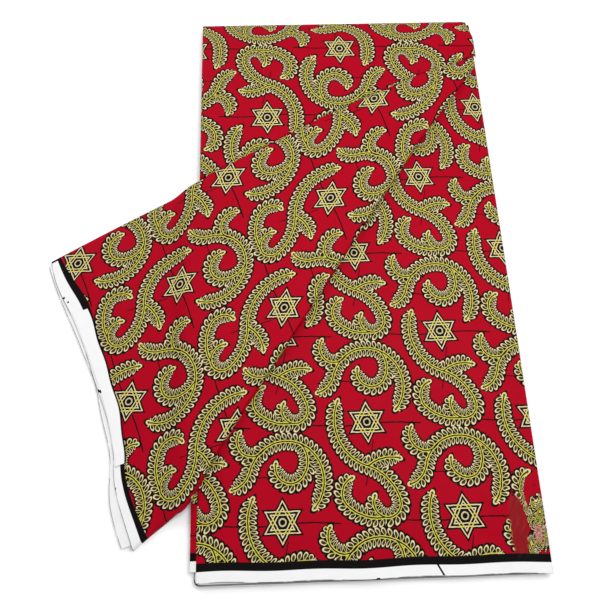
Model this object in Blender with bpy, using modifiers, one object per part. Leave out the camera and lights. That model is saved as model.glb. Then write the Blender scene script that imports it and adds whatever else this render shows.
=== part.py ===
"""Folded length of wax-print cotton whose front half is swung out to the left.

The cloth is 1.18 m wide and about 5.5 m long. It is pleated to panels 0.305 m wide, folded in
half across its width, and lies flat. The back half lies straight. The front half stays straight
only near the widthwise fold, and from a crease it turns away as a wedge whose two long sides are
rolled under and whose selvedge lies fanned at the left.

Frame: metres, +Z up, the cloth lies on z = 0, +Y runs towards the widthwise fold, and +X to the
right. The sizes below are measured from the lower left corner of the back half. At the end
everything is moved so that the origin is the middle of the bundle's footprint.
"""
import math

import bmesh
import bpy

MM = 0.001

# Panel sizes
PANEL_WIDTH = 305 * MM
SELVEDGE_TO_FOLD = 588 * MM
PANEL_SPREAD = 2.5 * MM
WALL = 1.2 * MM
PLY_WALL = 1.0 * MM
GAP = 0.3 * MM
FOOT_CLEARANCE = 0.5 * MM

# Heights above the surface that the bundle lies on
STACK_TOP = 6.4 * MM
SECOND_PLY_BASE = STACK_TOP + GAP
BACK_PANEL_BASE = SECOND_PLY_BASE + PLY_WALL + GAP
BACK_PANEL_TOP = BACK_PANEL_BASE + WALL
FRONT_BASE = BACK_PANEL_TOP + GAP
FRONT_LIFT = 5.6 * MM
BUNDLE_TOP = FRONT_BASE + FRONT_LIFT

# Widthwise fold: an ellipse from the top of the bundle to the ground
FOLD_REACH = 8 * MM
FOLD_AXIS_Y = SELVEDGE_TO_FOLD - FOLD_REACH
FOLD_AXIS_Z = BUNDLE_TOP / 2
FOLD_TUCK_ANGLE = math.radians(-75)

# Hidden plies of the back half, bottom one first: how far each leaf stands out at each side
LEAF_COUNT = 5
LEAF_HEIGHT = STACK_TOP / LEAF_COUNT
LEAF_GROOVE = 0.9 * MM
LEAF_CORNER = 5 * MM
LEAVES = [
    # left, right, selvedge (in millimetres)
    {"left": 1.4, "right": 0.2, "selvedge": 0.4},
    {"left": 2.2, "right": 1.0, "selvedge": 2.2},
    {"left": 1.2, "right": 0.0, "selvedge": 1.0},
    {"left": 2.6, "right": 1.3, "selvedge": 2.9},
    {"left": 1.8, "right": 0.5, "selvedge": 1.6},
]

# Second ply of the back half, which peeps out at the lower left corner
SECOND_PLY_LEFT = -4.6 * MM
SECOND_PLY_SELVEDGE_LEFT = 9 * MM
SECOND_PLY_SELVEDGE_RIGHT = 1 * MM

# Soft waves of the back panel: place, half width and height of each swell
BACK_SWELLS = [
    {"x": 0.235, "y": 0.250, "reach_x": 0.085, "reach_y": 0.120, "height": 1.1},
    {"x": 0.262, "y": 0.052, "reach_x": 0.030, "reach_y": 0.034, "height": 1.5},
    {"x": 0.120, "y": 0.075, "reach_x": 0.070, "reach_y": 0.045, "height": 0.8},
]

# The swung wedge: stations from its selvedge to its point at the right side of the bundle
WEDGE_STATIONS = [
    # along, upper edge, lower edge (metres)
    {"along": 0.000, "upper": (-0.1500, 0.3035), "lower": (-0.0590, 0.0265)},
    {"along": 0.130, "upper": (-0.0960, 0.3345), "lower": (-0.0405, 0.0405)},
    {"along": 0.260, "upper": (-0.0350, 0.3680), "lower": (-0.0190, 0.0560)},
    {"along": 0.330, "upper": (-0.0075, 0.3830), "lower": (-0.0060, 0.0665)},
    {"along": 0.430, "upper": (0.0480, 0.4130), "lower": (0.0290, 0.1250)},
    {"along": 0.540, "upper": (0.1080, 0.4470), "lower": (0.0760, 0.1950)},
    {"along": 0.650, "upper": (0.1520, 0.4700), "lower": (0.1180, 0.2580)},
    {"along": 0.750, "upper": (0.1950, 0.4905), "lower": (0.1620, 0.3240)},
    {"along": 0.850, "upper": (0.2370, 0.5105), "lower": (0.2070, 0.3910)},
    {"along": 0.930, "upper": (0.2700, 0.5225), "lower": (0.2480, 0.4500)},
    {"along": 1.000, "upper": (0.3045, 0.5365), "lower": (0.3035, 0.5235)},
]
WEDGE_LEAVES_BUNDLE = 0.330
WEDGE_LENGTH = 0.33
WEDGE_ROLL = 3.6 * MM
WEDGE_GROUND_LIFT = 5.3 * MM
DRAPE_TOP_X = -8 * MM
DRAPE_FOOT_X = -35 * MM
RIDGE_HEIGHT = 1.3 * MM
RIDGE_INSET = 9 * MM
RIDGE_REACH = 7 * MM
RADIAL_WAVE = 0.7 * MM
RADIAL_WAVE_COUNT = 3.5

# The swung selvedge is bowed in: how far it stands out past the line between its corners
SELVEDGE_BOW = [
    # share of the way down, outward (millimetres)
    {"down": 0.00, "outward": 1.5},
    {"down": 0.10, "outward": 1.4},
    {"down": 0.25, "outward": -4.7},
    {"down": 0.40, "outward": -9.0},
    {"down": 0.57, "outward": -11.1},
    {"down": 0.70, "outward": -8.6},
    {"down": 0.80, "outward": -3.6},
    {"down": 1.00, "outward": -3.0},
]
BOW_FADE = 0.30

# Lower plies of the wedge, fanned at its selvedge
FAN_PLIES = [
    # name, base height, how far it stands out at each place down the selvedge (millimetres)
    {"name": "wedge_third_ply", "base": 1.5, "reach": (2.0, 1.2, 1.8, 0.7, 2.2, 1.6, 4.8, 4.4)},
    {"name": "wedge_second_ply", "base": 2.8, "reach": (3.6, 2.6, 3.4, 1.8, 4.2, 3.6, 9.2, 8.4)},
]
FAN_PLACES = (0.0, 0.15, 0.25, 0.45, 0.60, 0.76, 0.87, 1.0)
FAN_PLY_END = 0.125
FAN_SIDE_INSET = 5.4 * MM
CORE_THIN = 1.2 * MM
CORE_THICK = 3.4 * MM
CORE_INSET = 5.2 * MM
WEDGE_COLUMNS = [
    # from, to, number of columns: closest where the wedge drapes down from the bundle
    {"from": 0.00, "to": 0.14, "count": 4},
    {"from": 0.14, "to": 0.36, "count": 16},
    {"from": 0.36, "to": 0.96, "count": 14},
]

# Strip of the selvedge that is turned back over the wedge's left end
TURNED_FROM = 0.215
TURNED_TO = 0.745
TURNED_WIDTH_START = 18.2 * MM
TURNED_WIDTH_END = 11.2 * MM
TURNED_OUTER = 0.8 * MM

# The straight top panel
TOP_PANEL_LEFT = -3.2 * MM
TOP_PANEL_RIGHT = 306.5 * MM
TOP_PANEL_CORNER_CUT = 6 * MM
TOP_PANEL_CORNER_RISE = 30 * MM
TOP_PANEL_ROLL = 3.4 * MM
CREASE_CLEARANCE = 0.8 * MM
CREASE_SLOPE_STRETCH = 1.12
TOP_SWELL = 0.9 * MM

# Colours, linear
PRINT_RED = (0.42, 0.006, 0.016, 1.0)
SELVEDGE_WHITE = (0.82, 0.82, 0.80, 1.0)
PLY_EDGE = (0.26, 0.02, 0.02, 1.0)


def smooth(value):
    """Ease from 0 to 1."""
    value = min(1.0, max(0.0, value))
    return value * value * (3 - 2 * value)


def mix(first, second, share):
    return first + (second - first) * share


def catmull(values, places, place):
    """Smooth value at a place, through values that stand at the given places."""
    last = len(places) - 1
    index = max(i for i in range(last) if places[i] <= place or i == 0)
    start, end = places[index], places[index + 1]
    span = end - start
    share = (place - start) / span

    def slope(i):
        before, after = max(0, i - 1), min(last, i + 1)
        return (values[after] - values[before]) / (places[after] - places[before])

    square, cube = share * share, share ** 3
    return ((2 * cube - 3 * square + 1) * values[index]
            + (cube - 2 * square + share) * span * slope(index)
            + (3 * square - 2 * cube) * values[index + 1]
            + (cube - square) * span * slope(index + 1))


STATION_PLACES = [station["along"] for station in WEDGE_STATIONS]
BOW_PLACES = [step["down"] for step in SELVEDGE_BOW]


def wedge_edge(side, along):
    """Plan point on the upper or lower edge of the wedge."""
    return tuple(catmull([station[side][axis] for station in WEDGE_STATIONS], STATION_PLACES, along)
                 for axis in (0, 1))


def wedge_width(along):
    upper, lower = wedge_edge("upper", along), wedge_edge("lower", along)
    return math.dist(upper, lower)


def wedge_plan(along, across, outward=0.0):
    """Plan point on the wedge: across runs from the upper edge (0) to the lower edge (1).

    Outward moves the point past the selvedge, away from the bundle. The selvedge's bow dies out
    along the wedge.
    """
    bow = catmull([step["outward"] * MM for step in SELVEDGE_BOW], BOW_PLACES, across)
    outward += bow * max(0.0, 1 - along / BOW_FADE) ** 2
    upper, lower = wedge_edge("upper", along), wedge_edge("lower", along)
    x, y = mix(upper[0], lower[0], across), mix(upper[1], lower[1], across)
    width = math.dist(upper, lower)
    normal = ((lower[1] - upper[1]) / width, -(lower[0] - upper[0]) / width)
    return x + normal[0] * outward, y + normal[1] * outward


def wedge_columns():
    """Places along the wedge where its grids have a column of points."""
    places = [mix(run["from"], run["to"], i / run["count"])
              for run in WEDGE_COLUMNS for i in range(run["count"])]
    return places + [WEDGE_COLUMNS[-1]["to"]]


def swell(x, y, one):
    across = (x - one["x"]) / one["reach_x"]
    along = (y - one["y"]) / one["reach_y"]
    return one["height"] * MM * math.exp(-across * across - along * along)


def back_top(x, y):
    """Height of the back panel's upper face."""
    return BACK_PANEL_TOP + sum(swell(x, y, one) for one in BACK_SWELLS)


def wedge_base(x, y):
    """Height of what the wedge lies on: the back panel, then a drape down to the ground."""
    share = smooth((x - DRAPE_FOOT_X) / (DRAPE_TOP_X - DRAPE_FOOT_X))
    return share * (back_top(x, y) + GAP)


def wedge_lift(x):
    share = smooth((x - DRAPE_FOOT_X) / (DRAPE_TOP_X - DRAPE_FOOT_X))
    return mix(WEDGE_GROUND_LIFT, FRONT_LIFT + 0.4 * MM, share)


def wedge_relief(along, across):
    """Soft ridges just inside both rolled edges, and waves that fan out from the point."""
    width = wedge_width(along)
    fade = smooth((along - 0.02) / 0.2) * smooth((0.99 - along) / 0.1)
    relief = 0.0
    for distance, share in ((across * width, 0.6), ((1 - across) * width, 1.0)):
        relief += share * RIDGE_HEIGHT * math.exp(-((distance - RIDGE_INSET) / RIDGE_REACH) ** 2)
    wave = math.sin(RADIAL_WAVE_COUNT * math.pi * across) * math.sin(math.pi * across)
    return fade * (relief + RADIAL_WAVE * max(0.0, wave) * smooth(width / 0.15))


def roll_rings(steps):
    """Inset and rise of each ring of a rolled edge, from its foot to its top, both from 0 to 1."""
    angles = [math.pi / 2 * step / steps for step in range(steps)]
    return [(1 - math.cos(angle), math.sin(angle)) for angle in angles]


def link(name, mesh):
    piece = bpy.data.objects.new(name, mesh)
    COLLECTION.objects.link(piece)
    return piece


def grid_mesh(name, columns, rows, place):
    """A grid of columns by rows points, each put where place(column, row) says."""
    bpy.ops.mesh.primitive_grid_add(x_subdivisions=columns - 1, y_subdivisions=rows - 1, size=2)
    grid = bpy.context.object
    mesh = grid.data.copy()
    bpy.data.objects.remove(grid)
    mesh.name = name
    for vertex in mesh.vertices:
        column = round((vertex.co.x + 1) / 2 * (columns - 1))
        row = round((vertex.co.y + 1) / 2 * (rows - 1))
        vertex.co = place(column, row)
    return mesh


def wall(name, columns, rows, place, thickness, material):
    """A cloth wall: the grid is its outer, upper side, and the thickness lies below it."""
    mesh = grid_mesh(name, columns, rows, place)
    if sum(face.normal.z * face.area for face in mesh.polygons) < 0:
        mesh.flip_normals()
    piece = link(name, mesh)
    solid = piece.modifiers.new("cloth", "SOLIDIFY")
    solid.thickness = thickness
    solid.offset = -1
    finish(piece, material)
    return piece


def slab(name, columns, rows, bottom, top, material):
    """A closed solid between two grids."""
    mesh = grid_mesh(name, columns, rows, lambda column, row: (column, row, 0.0))
    sheet = bmesh.new()
    sheet.from_mesh(mesh)
    raised = bmesh.ops.extrude_face_region(sheet, geom=list(sheet.faces))
    upper = [item for item in raised["geom"] if isinstance(item, bmesh.types.BMVert)]
    for vertex in upper:
        vertex.co.z = 1.0
    for vertex in sheet.verts:
        column, row = round(vertex.co.x), round(vertex.co.y)
        vertex.co = top(column, row) if vertex.co.z > 0.5 else bottom(column, row)
    bmesh.ops.recalc_face_normals(sheet, faces=list(sheet.faces))
    sheet.to_mesh(mesh)
    sheet.free()
    piece = link(name, mesh)
    finish(piece, material)
    return piece


def finish(piece, material):
    piece.data.materials.clear()
    piece.data.materials.append(material)
    piece.data.shade_smooth()
    piece.data.set_sharp_from_angle(angle=math.radians(50))


def cloth_material(name, colour):
    material = bpy.data.materials.new(name)
    material.use_nodes = True
    shader = material.node_tree.nodes["Principled BSDF"]
    shader.inputs["Base Color"].default_value = colour
    shader.inputs["Roughness"].default_value = 0.75
    shader.inputs["Metallic"].default_value = 0.0
    return material


def fold_reach_at(height):
    """How far the hidden plies reach into the widthwise fold at a height."""
    clear = WALL + 1.6 * GAP
    share = 1 - ((height - FOLD_AXIS_Z) / (FOLD_AXIS_Z - clear)) ** 2
    return (FOLD_REACH - clear) * math.sqrt(max(0.02, share))


def leaf_outline(leaf, groove, height, segments):
    """Rounded rectangle of one leaf at one height, as points in order round it."""
    left = -leaf["left"] * MM + groove
    right = PANEL_WIDTH + leaf["right"] * MM - groove
    low = -leaf["selvedge"] * MM + groove
    high = FOLD_AXIS_Y + fold_reach_at(height)
    per_corner = segments // 4
    points = []
    corners = ((right, high, 0), (left, high, 90), (left, low, 180), (right, low, 270))
    for x, y, turn in corners:
        centre_x = x - math.copysign(LEAF_CORNER, x - PANEL_WIDTH / 2)
        centre_y = y - math.copysign(LEAF_CORNER, y - SELVEDGE_TO_FOLD / 2)
        for step in range(per_corner):
            angle = math.radians(turn + 90 * step / (per_corner - 1))
            points.append((centre_x + LEAF_CORNER * math.cos(angle),
                           centre_y + LEAF_CORNER * math.sin(angle), height))
    return points


def build_stack(material):
    """The back half's hidden plies: one solid, raised leaf by leaf from its lowest outline."""
    segments = 24
    levels = [(0.0, 0.35), (0.12, 0.1), (0.5, 0.0), (0.88, 0.1), (1.0, 1.0)]
    sheet = bmesh.new()
    bmesh.ops.create_circle(sheet, cap_ends=True, segments=segments, radius=1)
    ring = sorted(sheet.verts, key=lambda vertex: math.atan2(vertex.co.y, vertex.co.x) % math.tau)
    sheet.faces.ensure_lookup_table()
    cap = sheet.faces[0]
    ring_count = 0
    for index, leaf in enumerate(LEAVES):
        for share, groove in levels:
            if ring_count and share == 0.0:
                continue
            if ring_count:
                raised = bmesh.ops.extrude_face_region(sheet, geom=[cap])["geom"]
                if ring_count > 1:
                    sheet.faces.remove(cap)
                new = [item for item in raised if isinstance(item, bmesh.types.BMVert)]
                cap = [item for item in raised if isinstance(item, bmesh.types.BMFace)][0]
                pairs = {tuple(round(c, 7) for c in vertex.co): vertex for vertex in new}
                ring = [pairs[tuple(round(c, 7) for c in vertex.co)] for vertex in ring]
            height = (index + share) * LEAF_HEIGHT
            for vertex, point in zip(ring, leaf_outline(leaf, groove * LEAF_GROOVE, height, segments)):
                vertex.co = point
            ring_count += 1
    mesh = bpy.data.meshes.new("back_stack")
    bmesh.ops.recalc_face_normals(sheet, faces=list(sheet.faces))
    sheet.to_mesh(mesh)
    sheet.free()
    finish(link("back_stack", mesh), material)


def panel_right(y):
    """The panels are a little wider at the selvedge than at the fold."""
    return PANEL_WIDTH + PANEL_SPREAD * (1 - y / SELVEDGE_TO_FOLD)


def build_second_ply(material):
    columns, rows = 9, 13
    end = FOLD_AXIS_Y + 4 * MM

    def place(column, row):
        across = column / (columns - 1)
        low = mix(SECOND_PLY_SELVEDGE_LEFT, SECOND_PLY_SELVEDGE_RIGHT, across)
        y = mix(low, end, row / (rows - 1))
        x = mix(SECOND_PLY_LEFT * smooth((0.40 - y) / 0.2) - 1 * MM, panel_right(y) - 2 * MM, across)
        return x, y, SECOND_PLY_BASE + PLY_WALL

    wall("back_second_ply", columns, rows, place, PLY_WALL, material)


def build_back_panel(material):
    columns, rows = 20, 27
    end = FOLD_AXIS_Y + 4 * MM

    def place(column, row):
        y = mix(0.0, end, row / (rows - 1))
        x = mix(0.0, panel_right(y), column / (columns - 1))
        return x, y - 1.5 * MM * x / PANEL_WIDTH * (row == 0), back_top(x, y)

    wall("back_panel", columns, rows, place, WALL, material)


def crease_line():
    """Samples of the wedge's upper edge where it runs along the top panel."""
    count = 60
    return [wedge_edge("upper", mix(WEDGE_LEAVES_BUNDLE, 1.0, i / count)) for i in range(count + 1)]


def crease_y(x, samples):
    """Height up the page of the crease at an x, kept level past its two ends."""
    if x <= samples[0][0]:
        return samples[0][1]
    for (x0, y0), (x1, y1) in zip(samples, samples[1:]):
        if x <= x1:
            return mix(y0, y1, (x - x0) / (x1 - x0))
    return samples[-1][1]


def top_panel_right(y):
    cut = TOP_PANEL_CORNER_CUT * smooth((y - (SELVEDGE_TO_FOLD - TOP_PANEL_CORNER_RISE))
                                        / TOP_PANEL_CORNER_RISE)
    return TOP_PANEL_RIGHT - cut


def top_panel_height(x, y):
    """The top panel is slightly crowned."""
    across = math.sin(math.pi * min(1.0, max(0.0, x / PANEL_WIDTH)))
    along = smooth((FOLD_AXIS_Y - y) / 0.05)
    return BUNDLE_TOP + TOP_SWELL * across * along


def build_top_panel(material):
    """Straight part of the front half: rolled at the crease and the sides, round at the fold."""
    samples = crease_line()
    rings = roll_rings(3)
    inner_columns, inner_rows, fold_steps = 15, 10, 9
    foot = FRONT_BASE + FOOT_CLEARANCE
    side = rings + [(1.0, 1.0)]
    columns = ([("left", inset, rise) for inset, rise in side]
               + [("inner", (i + 1) / inner_columns, 1.0) for i in range(inner_columns - 1)]
               + [("right", inset, rise) for inset, rise in reversed(side)])
    rows = ([("crease", inset, rise) for inset, rise in side]
            + [("inner", (i + 1) / inner_rows, 1.0) for i in range(inner_rows)]
            + [("fold", (i + 1) / fold_steps, 1.0) for i in range(fold_steps)])

    def column_x(column, y):
        kind, value, rise = columns[column]
        left, right = TOP_PANEL_LEFT, top_panel_right(y)
        if kind == "left":
            return left + value * TOP_PANEL_ROLL, rise
        if kind == "right":
            return right - value * TOP_PANEL_ROLL, rise
        return mix(left + TOP_PANEL_ROLL, right - TOP_PANEL_ROLL, value), rise

    def place(column, row):
        kind, value, row_rise = rows[row]
        guess_x = column_x(column, 0.5)[0]
        low = crease_y(guess_x, samples) + CREASE_CLEARANCE
        roll_end = low + TOP_PANEL_ROLL * CREASE_SLOPE_STRETCH
        if kind == "crease":
            y = low + value * TOP_PANEL_ROLL * CREASE_SLOPE_STRETCH
        elif kind == "inner":
            y = mix(roll_end, FOLD_AXIS_Y, value)
        else:
            angle = mix(math.pi / 2, FOLD_TUCK_ANGLE, value)
            y = FOLD_AXIS_Y + FOLD_REACH * math.cos(angle)
        x, column_rise = column_x(column, y)
        if kind == "fold":
            height = FOLD_AXIS_Z + FOLD_AXIS_Z * math.sin(angle)
            if height > foot:
                height = foot + (height - foot) * column_rise
        else:
            height = foot + (top_panel_height(x, y) - foot) * column_rise * row_rise
        return x, y, height

    wall("top_panel", len(columns), len(rows), place, WALL, material)


def build_front_core(material):
    """Hidden plies between the back panel and the top panel."""
    samples = crease_line()
    columns, rows = 14, 6
    inset = CORE_INSET
    top = FRONT_BASE + FRONT_LIFT - WALL - GAP

    def plan(column, row):
        across = column / (columns - 1)
        x = mix(TOP_PANEL_LEFT + inset, TOP_PANEL_RIGHT - TOP_PANEL_CORNER_CUT - inset, across)
        low = crease_y(x, samples) + CREASE_CLEARANCE + inset * CREASE_SLOPE_STRETCH
        return x, mix(low, FOLD_AXIS_Y - 1 * MM, row / (rows - 1))

    def bottom(column, row):
        return (*plan(column, row), FRONT_BASE)

    def upper(column, row):
        return (*plan(column, row), top)

    slab("front_core", columns, rows, bottom, upper, material)


def build_wedge_panel(material):
    """The swung cloth: rolled under at its two long sides and at its point, open at its selvedge."""
    rings = roll_rings(3) + [(1.0, 1.0)]
    inner_rows = 15
    rows = ([("upper", inset, rise) for inset, rise in rings]
            + [("inner", (i + 1) / inner_rows, 1.0) for i in range(inner_rows - 1)]
            + [("lower", inset, rise) for inset, rise in reversed(rings)])
    end_roll = WEDGE_ROLL / WEDGE_LENGTH
    columns = ([(along, 1.0) for along in wedge_columns()]
               + [(1 - inset * end_roll, rise) for inset, rise in reversed(rings)])

    def place(column, row):
        along, column_rise = columns[column]
        kind, value, row_rise = rows[row]
        edge_share = WEDGE_ROLL / wedge_width(along)
        if kind == "upper":
            across = value * edge_share
        elif kind == "lower":
            across = 1 - value * edge_share
        else:
            across = mix(edge_share, 1 - edge_share, value)
        x, y = wedge_plan(along, across)
        lift = wedge_lift(x) + wedge_relief(along, across)
        rise = row_rise * column_rise
        height = wedge_base(x, y) + FOOT_CLEARANCE + (lift - FOOT_CLEARANCE) * rise
        return x, y, height

    wall("wedge_panel", len(columns), len(rows), place, WALL, material)


def build_wedge_core(material):
    """Hidden plies of the wedge: thin under the fanned plies, thicker past them."""
    places = [max(0.004, along) for along in wedge_columns()]
    columns, rows = len(places), 10

    def plan(column, row):
        along = places[column]
        share = CORE_INSET / wedge_width(along)
        return along, wedge_plan(along, mix(share, 1 - share, row / (rows - 1)))

    def bottom(column, row):
        along, (x, y) = plan(column, row)
        return x, y, wedge_base(x, y)

    def top(column, row):
        along, (x, y) = plan(column, row)
        thickness = mix(CORE_THIN, CORE_THICK, smooth((along - FAN_PLY_END - 0.02) / 0.05))
        return x, y, wedge_base(x, y) + thickness

    slab("wedge_core", columns, rows, bottom, top, material)


def build_fan_ply(ply, material):
    columns, rows = 5, 25

    def place(column, row):
        down = row / (rows - 1)
        out = catmull(ply["reach"], FAN_PLACES, down) * MM
        inward = column / (columns - 1)
        along = FAN_PLY_END * max(0.0, (inward - 0.2) / 0.8)
        share = FAN_SIDE_INSET / wedge_width(along)
        x, y = wedge_plan(along, mix(share, 1 - share, down), out * max(0.0, 1 - inward / 0.2))
        return x, y, ply["base"] * MM + PLY_WALL

    wall(ply["name"], columns, rows, place, PLY_WALL, material)


def build_turned_selvedge(material):
    """A stretch of selvedge turned back over the wedge's left end."""
    columns, rows = 5, 15

    def place(column, row):
        down = mix(TURNED_FROM, TURNED_TO, row / (rows - 1))
        width = mix(TURNED_WIDTH_START, TURNED_WIDTH_END, row / (rows - 1))
        inward = mix(TURNED_OUTER, width, column / (columns - 1))
        x, y = wedge_plan(0.0, down, -inward)
        along = inward / WEDGE_LENGTH
        height = wedge_base(x, y) + wedge_lift(x) + wedge_relief(along, down)
        return x, y, height + 1.4 * GAP + PLY_WALL

    wall("turned_selvedge", columns, rows, place, PLY_WALL, material)


def centre_on_origin():
    """Move every piece so that the box round them all stands on the origin."""
    depsgraph = bpy.context.evaluated_depsgraph_get()
    corners = []
    for piece in COLLECTION.objects:
        shape = piece.evaluated_get(depsgraph).to_mesh()
        corners += [tuple(vertex.co) for vertex in shape.vertices]
    middle = [(min(c[axis] for c in corners) + max(c[axis] for c in corners)) / 2 for axis in (0, 1)]
    for piece in COLLECTION.objects:
        for vertex in piece.data.vertices:
            vertex.co.x -= middle[0]
            vertex.co.y -= middle[1]


for old in list(bpy.data.objects):
    bpy.data.objects.remove(old)
COLLECTION = bpy.data.collections.new("folded_print_cloth")
bpy.context.scene.collection.children.link(COLLECTION)

printed = cloth_material("printed_cotton", PRINT_RED)
bare = cloth_material("bare_selvedge", SELVEDGE_WHITE)
edges = cloth_material("ply_edges", PLY_EDGE)

build_stack(edges)
build_second_ply(printed)
build_back_panel(printed)
build_front_core(edges)
build_top_panel(printed)
build_wedge_core(edges)
for fan_ply in FAN_PLIES:
    build_fan_ply(fan_ply, bare)
build_wedge_panel(printed)
build_turned_selvedge(bare)
centre_on_origin()
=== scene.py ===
"""Looks of the folded length of wax-print cotton: cloth, print, selvedges, floor, light and camera."""
import math
from functools import partialmethod

import bpy
from mathutils import Matrix, Vector


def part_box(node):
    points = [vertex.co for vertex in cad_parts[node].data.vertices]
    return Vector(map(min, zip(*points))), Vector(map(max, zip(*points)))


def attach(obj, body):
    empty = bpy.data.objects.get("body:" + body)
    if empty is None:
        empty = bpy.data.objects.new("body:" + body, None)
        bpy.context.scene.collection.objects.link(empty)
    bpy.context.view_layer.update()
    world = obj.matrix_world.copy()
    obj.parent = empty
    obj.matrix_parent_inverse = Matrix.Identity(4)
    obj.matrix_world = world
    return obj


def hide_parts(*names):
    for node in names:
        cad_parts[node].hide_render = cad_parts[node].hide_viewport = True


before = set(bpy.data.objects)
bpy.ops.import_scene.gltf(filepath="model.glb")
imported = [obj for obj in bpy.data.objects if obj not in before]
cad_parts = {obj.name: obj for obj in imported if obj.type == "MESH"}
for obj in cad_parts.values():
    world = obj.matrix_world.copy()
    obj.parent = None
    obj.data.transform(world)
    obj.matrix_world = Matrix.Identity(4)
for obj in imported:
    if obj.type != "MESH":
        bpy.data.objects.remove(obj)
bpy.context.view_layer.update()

MM = 0.001

# Sizes shared with the solids, in metres from the lower left corner of the back half
PANEL_WIDTH = 305 * MM
SELVEDGE_TO_FOLD = 588 * MM
PANEL_SPREAD = 2.5 * MM
GAP = 0.3 * MM
CLOTH = 0.6 * MM
BACK_PANEL_TOP = 9.2 * MM
SECOND_PLY_TOP = 7.7 * MM
FRONT_BASE = 9.5 * MM
FRONT_LIFT = 5.6 * MM
BUNDLE_TOP = FRONT_BASE + FRONT_LIFT
FOOT_CLEARANCE = 0.5 * MM
FOLD_REACH = 8 * MM
FOLD_AXIS_Y = SELVEDGE_TO_FOLD - FOLD_REACH
FOLD_AXIS_Z = BUNDLE_TOP / 2
FOLD_TUCK_ANGLE = math.radians(-75)
PANEL_END_Y = FOLD_AXIS_Y + 4 * MM

# Second ply of the back half
SECOND_PLY_LEFT = -4.6 * MM
SECOND_PLY_SELVEDGE = (9 * MM, 1 * MM)
SECOND_PLY_INSET = (1 * MM, 2 * MM)
SECOND_LEFT_FADE = (0.20, 0.20)
SECOND_PRINT_SHIFT = (36 * MM, 6 * MM)

# Soft waves of the back panel: place and reach in metres, height in millimetres
BACK_SWELLS = [
    ((0.235, 0.250), (0.085, 0.120), 1.1),
    ((0.262, 0.052), (0.030, 0.034), 1.5),
    ((0.120, 0.075), (0.070, 0.045), 0.8),
]

# The swung wedge: stations from its selvedge to its point at the right side of the bundle
WEDGE_STATIONS = [
    # along, upper edge, lower edge (metres)
    (0.000, (-0.1500, 0.3035), (-0.0590, 0.0265)),
    (0.130, (-0.0960, 0.3345), (-0.0405, 0.0405)),
    (0.260, (-0.0350, 0.3680), (-0.0190, 0.0560)),
    (0.330, (-0.0075, 0.3830), (-0.0060, 0.0665)),
    (0.430, (0.0480, 0.4130), (0.0290, 0.1250)),
    (0.540, (0.1080, 0.4470), (0.0760, 0.1950)),
    (0.650, (0.1520, 0.4700), (0.1180, 0.2580)),
    (0.750, (0.1950, 0.4905), (0.1620, 0.3240)),
    (0.850, (0.2370, 0.5105), (0.2070, 0.3910)),
    (0.930, (0.2700, 0.5225), (0.2480, 0.4500)),
    (1.000, (0.3045, 0.5365), (0.3035, 0.5235)),
]
WEDGE_LEAVES_BUNDLE = 0.330
WEDGE_LENGTH = 0.33
UPPER_RUN = 0.479
LOWER_RUN = 0.178
WEDGE_ROLL = 3.6 * MM
WEDGE_LIFT = FRONT_LIFT + 0.4 * MM
WEDGE_GROUND_LIFT = 5.3 * MM
DRAPE_TOP_X = -8 * MM
DRAPE_FOOT_X = -35 * MM
WEDGE_RELIEF_ALONG = (0.02, 0.22, 0.89, 0.99)
UPPER_RIDGE = 0.6 * MM
LOWER_RIDGE = 1.0 * MM
RIDGE_INSET = 9 * MM
RIDGE_REACH = 7 * MM
RADIAL_WAVE = 0.7 * MM
RADIAL_WAVE_COUNT = 3.5
RADIAL_WAVE_WIDTH = 0.15

# The swung selvedge is bowed in: shares of the way down, and how far out past the line between its corners
# it stands there (millimetres)
BOW_PLACES = (0.00, 0.10, 0.25, 0.40, 0.57, 0.70, 0.80, 1.00)
BOW = (1.5, 1.4, -4.7, -9.0, -11.1, -8.6, -3.6, -3.0)
BOW_FADE = 0.30

# Lower plies of the wedge, fanned at its selvedge
FAN_PLIES = [
    # node, base height, how far it stands out at each place down the selvedge (millimetres)
    {"node": "wedge_third_ply", "base": 1.5, "reach": (2.0, 1.2, 1.8, 0.7, 2.2, 1.6, 4.8, 4.4)},
    {"node": "wedge_second_ply", "base": 2.8, "reach": (3.6, 2.6, 3.4, 1.8, 4.2, 3.6, 9.2, 8.4)},
]
FAN_PLACES = (0.0, 0.15, 0.25, 0.45, 0.60, 0.76, 0.87, 1.0)
PLY_WALL = 1.0 * MM
FAN_PLY_END = 0.125
FAN_PLY_LENGTH = 0.3
FAN_SIDE_INSET = 5.4 * MM

# Bare strip of the swung selvedge, and how much wider it is at places down its length (millimetres)
WEDGE_BARE = 9 * MM
BARE_WANDER = (-3.2, 1.4, 4.4, 0.0, -1.0, -1.0, 2.5)
BARE_PLACES = (0.0, 0.11, 0.22, 0.50, 0.76, 0.86, 1.0)

# Strip of the selvedge that is turned back over the wedge's left end
TURNED_RUN = (0.215, 0.745)
TURNED_WIDTH = (18.2 * MM, 11.2 * MM)
TURNED_OUTER = 0.8 * MM
TURNED_LENGTH = 0.155
TURNED_REST = 1.4 * GAP
TURNED_THINNING = 0.3
TURNED_BARE = 40 * MM
TURNED_LINE = 1.3 * MM

# The straight top panel
TOP_PANEL_LEFT = -3.2 * MM
TOP_PANEL_RIGHT = 306.5 * MM
TOP_PANEL_CORNER_CUT = 6 * MM
TOP_PANEL_CORNER_RISE = 30 * MM
TOP_PANEL_ROLL = 3.4 * MM
CREASE_CLEARANCE = 0.8 * MM
CREASE_DEPTH = 0.50
CREASE_TUCK = 4 * MM
CREASE_SLOPE_STRETCH = 1.12
TOP_SWELL = 0.9 * MM

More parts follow.
